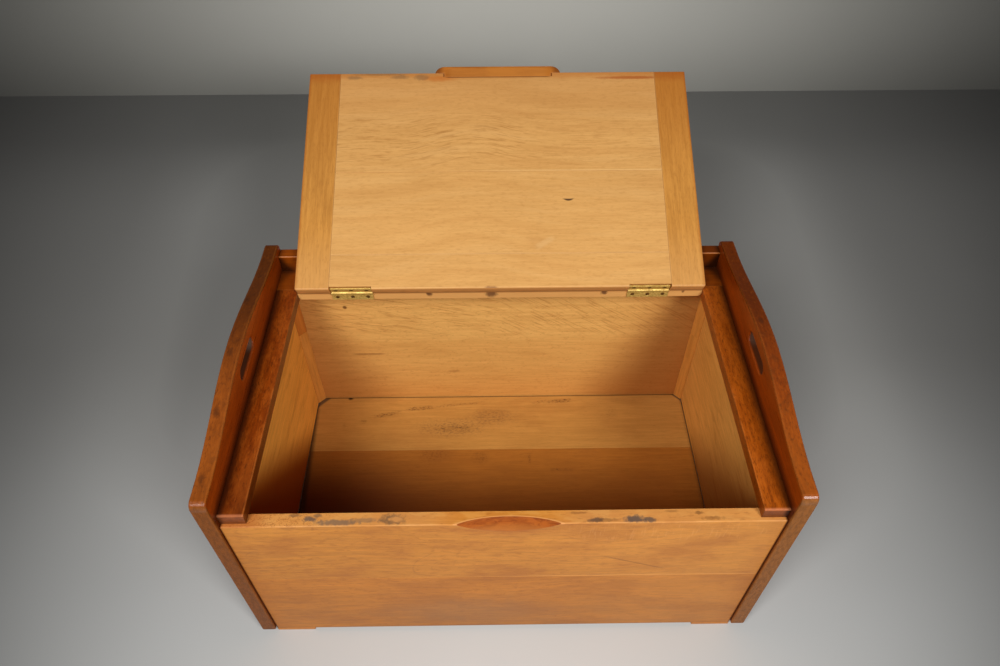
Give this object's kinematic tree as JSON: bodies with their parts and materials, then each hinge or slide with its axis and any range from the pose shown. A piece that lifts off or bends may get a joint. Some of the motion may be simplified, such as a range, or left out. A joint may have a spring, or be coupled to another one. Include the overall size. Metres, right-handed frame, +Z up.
{
  "type": "blanket chest",
  "caption": "Wooden blanket chest with humped end panels, hand slots, a finger scoop in the front and a clamped lid on brass butt hinges that leans open on a rear rail.",
  "frame": {"origin": "floor level at the middle of the chest's underside, on the centre runner", "axes": "+X to the right seen from the front, +Y towards the back, +Z up; the front faces -Y"},
  "size_m": [0.875, 0.8864, 0.6348],
  "materials": {
    "stained_wood": "dark stained and waxed",
    "ledge_wood": "stained and waxed",
    "honey_wood": "waxed",
    "pale_wood": "bare",
    "clamp_wood": "bare",
    "floor_wood": "bare",
    "block_wood": "bare",
    "brass": "worn satin"
  },
  "bodies": {
    "chest": {"left_end_panel": "stained_wood", "right_end_panel": "stained_wood", "front_upper_board": "honey_wood", "front_lower_board": "honey_wood", "back_panel": "stained_wood", "floor_front_board": "floor_wood", "floor_middle_board": "floor_wood", "floor_rear_board": "floor_wood", "left_runner": "honey_wood", "centre_runner": "honey_wood", "right_runner": "honey_wood", "left_ledge": "ledge_wood", "right_ledge": "ledge_wood", "rear_shelf": "ledge_wood", "rear_left_upper_block": "block_wood", "rear_left_lower_block": "block_wood", "rear_right_upper_block": "block_wood", "rear_right_lower_block": "block_wood", "front_left_block": "block_wood", "front_right_block": "block_wood", "left_hinge_fixed_leaf": "brass", "left_hinge_pin": "brass", "left_hinge_fixed_screw_1": "brass", "left_hinge_fixed_screw_2": "brass", "left_hinge_fixed_screw_3": "brass", "right_hinge_fixed_leaf": "brass", "right_hinge_pin": "brass", "right_hinge_fixed_screw_1": "brass", "right_hinge_fixed_screw_2": "brass", "right_hinge_fixed_screw_3": "brass"},
    "lid": {"lid_front_board": "pale_wood", "lid_middle_board": "pale_wood", "lid_rear_board": "pale_wood", "lid_left_clamp": "clamp_wood", "lid_right_clamp": "clamp_wood", "lid_pull": "clamp_wood", "left_hinge_lid_leaf": "brass", "left_hinge_lid_screw_1": "brass", "left_hinge_lid_screw_2": "brass", "left_hinge_lid_screw_3": "brass", "right_hinge_lid_leaf": "brass", "right_hinge_lid_screw_1": "brass", "right_hinge_lid_screw_2": "brass", "right_hinge_lid_screw_3": "brass"}
  },
  "joints": [
    {"name": "lid_hinge", "type": "hinge", "parent": "chest", "child": "lid", "pos_m": [0, 0.1884, 0.4143], "axis": [1, 0, 0], "range_deg": [0, 154.6]}
  ]
}
